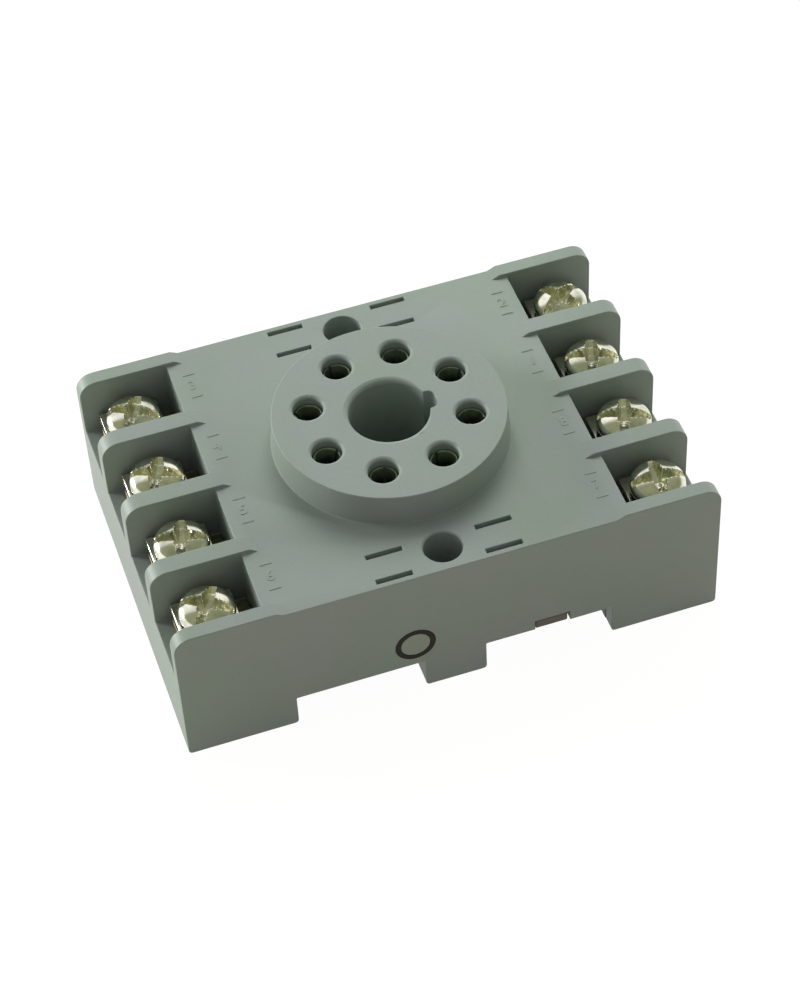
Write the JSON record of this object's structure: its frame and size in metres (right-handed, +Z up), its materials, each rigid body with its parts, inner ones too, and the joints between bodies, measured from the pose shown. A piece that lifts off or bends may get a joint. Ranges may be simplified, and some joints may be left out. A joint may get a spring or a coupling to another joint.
{
  "type": "relay socket",
  "caption": "Screw-terminal socket that holds a round keyed plug-in relay base, with barriers between the wiring bays, on a 35 mm rail or by panel screws.",
  "frame": {"origin": "centre of the base, in the plane of the feet", "axes": "+X along the socket towards the latch and the key way, +Y along the rail, +Z up out of the deck"},
  "size_m": [0.06, 0.0404, 0.0218],
  "materials": {
    "housing_plastic": "moulded grey-green thermoplastic, fine satin texture",
    "cover_phenolic": "moulded brown phenolic, dull",
    "latch_plastic": "moulded black polyamide",
    "spring_steel": "plain spring steel",
    "plated_brass": "nickel-plated brass strip",
    "contact_bronze": "plated phosphor bronze",
    "nickel_steel": "bright nickel-plated steel"
  },
  "bodies": {
    "socket_body": {"housing": "housing_plastic", "base_cover": "cover_phenolic", "latch_spring": "spring_steel", "terminal_strip_1": "plated_brass", "terminal_strip_2": "plated_brass", "terminal_strip_3": "plated_brass", "terminal_strip_4": "plated_brass", "terminal_strip_5": "plated_brass", "terminal_strip_6": "plated_brass", "terminal_strip_7": "plated_brass", "terminal_strip_8": "plated_brass", "contact_sleeve_1": "contact_bronze", "contact_sleeve_2": "contact_bronze", "contact_sleeve_3": "contact_bronze", "contact_sleeve_4": "contact_bronze", "contact_sleeve_5": "contact_bronze", "contact_sleeve_6": "contact_bronze", "contact_sleeve_7": "contact_bronze", "contact_sleeve_8": "contact_bronze"},
    "latch": {"rail_latch": "latch_plastic"},
    "clamp_1": {"clamp_plate_1": "nickel_steel"},
    "screw_1": {"terminal_screw_1": "nickel_steel"},
    "clamp_2": {"clamp_plate_2": "nickel_steel"},
    "screw_2": {"terminal_screw_2": "nickel_steel"},
    "clamp_3": {"clamp_plate_3": "nickel_steel"},
    "screw_3": {"terminal_screw_3": "nickel_steel"},
    "clamp_4": {"clamp_plate_4": "nickel_steel"},
    "screw_4": {"terminal_screw_4": "nickel_steel"},
    "clamp_5": {"clamp_plate_5": "nickel_steel"},
    "screw_5": {"terminal_screw_5": "nickel_steel"},
    "clamp_6": {"clamp_plate_6": "nickel_steel"},
    "screw_6": {"terminal_screw_6": "nickel_steel"},
    "clamp_7": {"clamp_plate_7": "nickel_steel"},
    "screw_7": {"terminal_screw_7": "nickel_steel"},
    "clamp_8": {"clamp_plate_8": "nickel_steel"},
    "screw_8": {"terminal_screw_8": "nickel_steel"}
  },
  "joints": [
    {"name": "latch_slide", "type": "slide", "parent": "socket_body", "child": "latch", "axis": [1, 0, 0], "range_m": [0, 0.0016], "stiffness_N_per_m": 1500, "springref_m": -0.002, "deforming": ["latch_spring"]},
    {"name": "clamp_lift_1", "type": "slide", "parent": "socket_body", "child": "clamp_1", "axis": [0, 0, 1], "range_m": [-0.001, 0.0014]},
    {"name": "screw_turn_1", "type": "hinge", "parent": "clamp_1", "child": "screw_1", "pos_m": [0.025, 0.00487, 0.0142], "axis": [0, 0, 1], "range_deg": [-600, 840]},
    {"name": "clamp_lift_2", "type": "slide", "parent": "socket_body", "child": "clamp_2", "axis": [0, 0, 1], "range_m": [-0.001, 0.0014]},
    {"name": "screw_turn_2", "type": "hinge", "parent": "clamp_2", "child": "screw_2", "pos_m": [0.025, 0.01463, 0.0142], "axis": [0, 0, 1], "range_deg": [-600, 840]},
    {"name": "clamp_lift_3", "type": "slide", "parent": "socket_body", "child": "clamp_3", "axis": [0, 0, 1], "range_m": [-0.001, 0.0014]},
    {"name": "screw_turn_3", "type": "hinge", "parent": "clamp_3", "child": "screw_3", "pos_m": [-0.025, 0.01463, 0.0142], "axis": [0, 0, 1], "range_deg": [-600, 840]},
    {"name": "clamp_lift_4", "type": "slide", "parent": "socket_body", "child": "clamp_4", "axis": [0, 0, 1], "range_m": [-0.001, 0.0014]},
    {"name": "screw_turn_4", "type": "hinge", "parent": "clamp_4", "child": "screw_4", "pos_m": [-0.025, 0.00487, 0.0142], "axis": [0, 0, 1], "range_deg": [-600, 840]},
    {"name": "clamp_lift_5", "type": "slide", "parent": "socket_body", "child": "clamp_5", "axis": [0, 0, 1], "range_m": [-0.001, 0.0014]},
    {"name": "screw_turn_5", "type": "hinge", "parent": "clamp_5", "child": "screw_5", "pos_m": [-0.025, -0.00487, 0.0142], "axis": [0, 0, 1], "range_deg": [-600, 840]},
    {"name": "clamp_lift_6", "type": "slide", "parent": "socket_body", "child": "clamp_6", "axis": [0, 0, 1], "range_m": [-0.001, 0.0014]},
    {"name": "screw_turn_6", "type": "hinge", "parent": "clamp_6", "child": "screw_6", "pos_m": [-0.025, -0.01463, 0.0142], "axis": [0, 0, 1], "range_deg": [-600, 840]},
    {"name": "clamp_lift_7", "type": "slide", "parent": "socket_body", "child": "clamp_7", "axis": [0, 0, 1], "range_m": [-0.001, 0.0014]},
    {"name": "screw_turn_7", "type": "hinge", "parent": "clamp_7", "child": "screw_7", "pos_m": [0.025, -0.01463, 0.0142], "axis": [0, 0, 1], "range_deg": [-600, 840]},
    {"name": "clamp_lift_8", "type": "slide", "parent": "socket_body", "child": "clamp_8", "axis": [0, 0, 1], "range_m": [-0.001, 0.0014]},
    {"name": "screw_turn_8", "type": "hinge", "parent": "clamp_8", "child": "screw_8", "pos_m": [0.025, -0.00487, 0.0142], "axis": [0, 0, 1], "range_deg": [-600, 840]}
  ],
  "couplings": [
    {"joint": "screw_turn_1", "follows": "clamp_lift_1", "rad_per_m": 10472},
    {"joint": "screw_turn_2", "follows": "clamp_lift_2", "rad_per_m": 10472},
    {"joint": "screw_turn_3", "follows": "clamp_lift_3", "rad_per_m": 10472},
    {"joint": "screw_turn_4", "follows": "clamp_lift_4", "rad_per_m": 10472},
    {"joint": "screw_turn_5", "follows": "clamp_lift_5", "rad_per_m": 10472},
    {"joint": "screw_turn_6", "follows": "clamp_lift_6", "rad_per_m": 10472},
    {"joint": "screw_turn_7", "follows": "clamp_lift_7", "rad_per_m": 10472},
    {"joint": "screw_turn_8", "follows": "clamp_lift_8", "rad_per_m": 10472}
  ]
}
